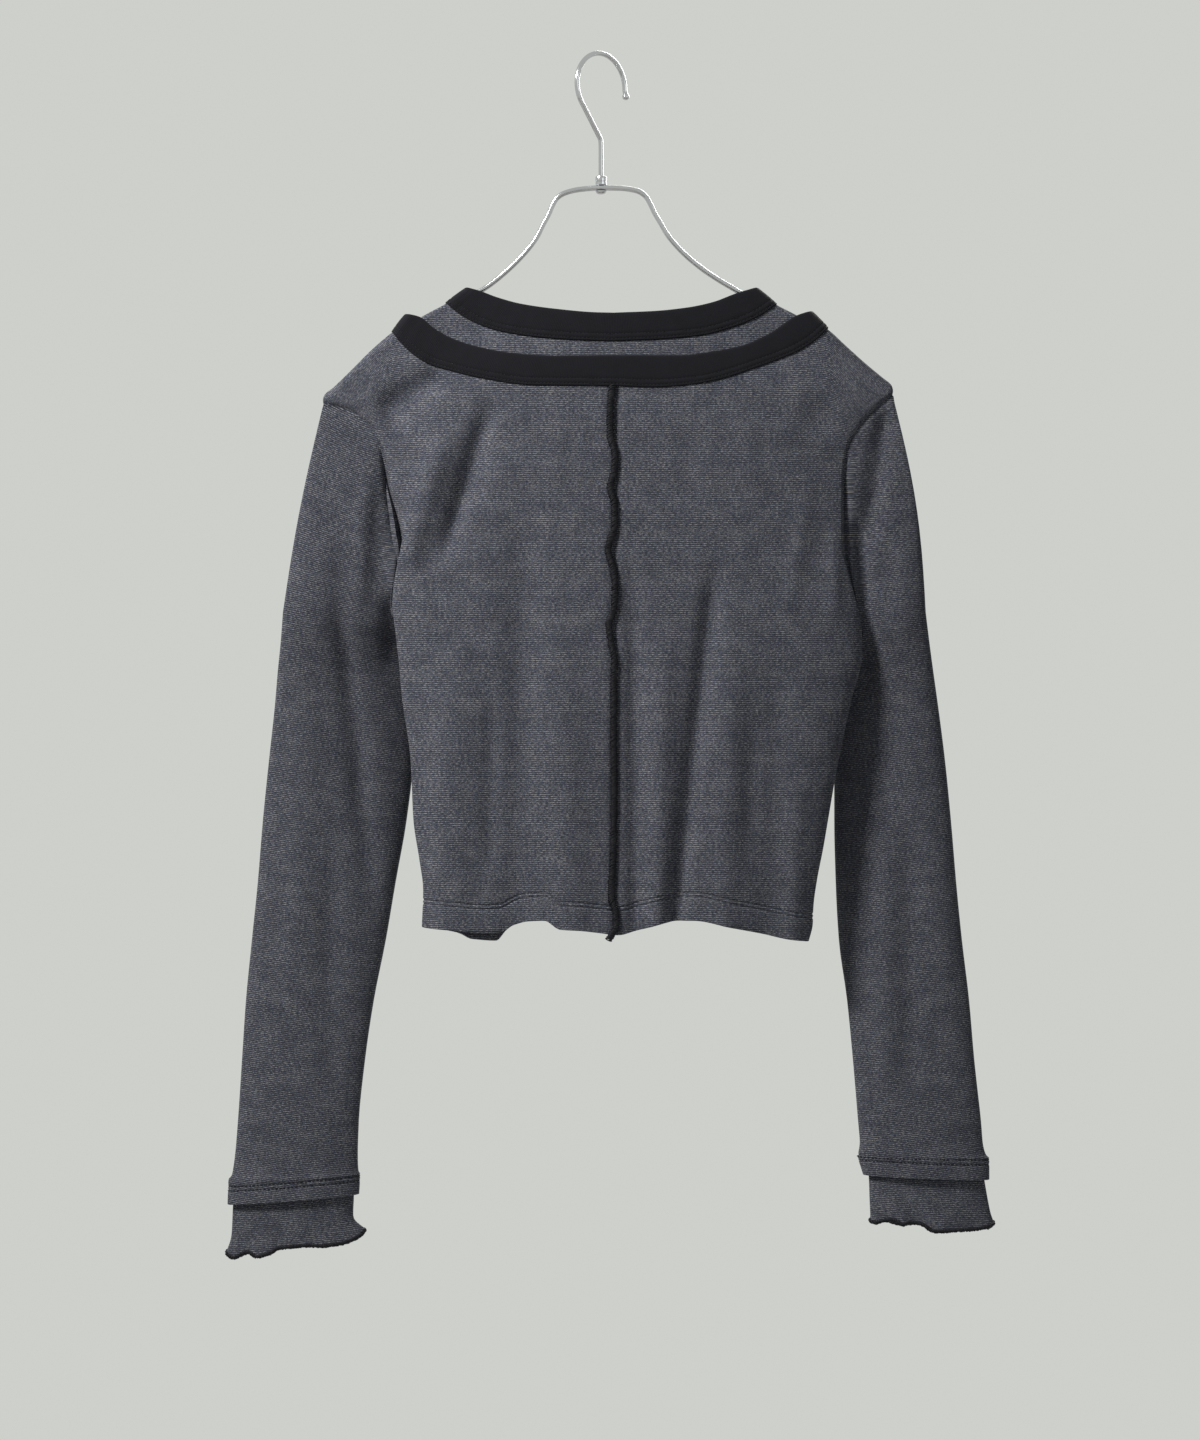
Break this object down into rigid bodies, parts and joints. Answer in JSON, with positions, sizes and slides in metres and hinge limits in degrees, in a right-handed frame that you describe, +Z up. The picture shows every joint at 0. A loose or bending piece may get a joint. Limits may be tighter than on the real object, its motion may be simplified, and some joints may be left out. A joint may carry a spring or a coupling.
{
  "type": "cardigan garment on a wire hanger",
  "caption": "Cropped long-sleeved jersey cardigan with a doubled neckline and under-cuffs, on a chrome wire hanger.",
  "frame": {"origin": "inside top of the hanger's hook, where it rests on a rail or peg", "axes": "+Z up; -Y towards the garment's back, +Y towards its buttoned front; +X towards the wearer's right"},
  "size_m": [0.5592, 0.0672, 0.8726],
  "materials": {
    "jersey": "fine striped melange knit, matt",
    "rib": "near-black rib, matt",
    "buttons": "satin",
    "steel": "polished"
  },
  "bodies": {
    "root": {"back_left": "jersey", "back_right": "jersey", "back_seam_trim": "rib", "button_1": "buttons", "button_2": "buttons", "button_3": "buttons", "button_4": "buttons", "button_5": "buttons", "cuff_edge_left": "rib", "cuff_edge_right": "rib", "cuff_left": "jersey", "cuff_right": "jersey", "front_left": "jersey", "front_right": "jersey", "hanger_collar": "steel", "hanger_frame": "steel", "hanger_hook": "steel", "neck_binding_inner": "rib", "neck_binding_outer": "rib", "sleeve_left": "jersey", "sleeve_right": "jersey", "yoke_back": "jersey", "yoke_front_left": "jersey", "yoke_front_right": "jersey"}
  },
  "joints": []
}
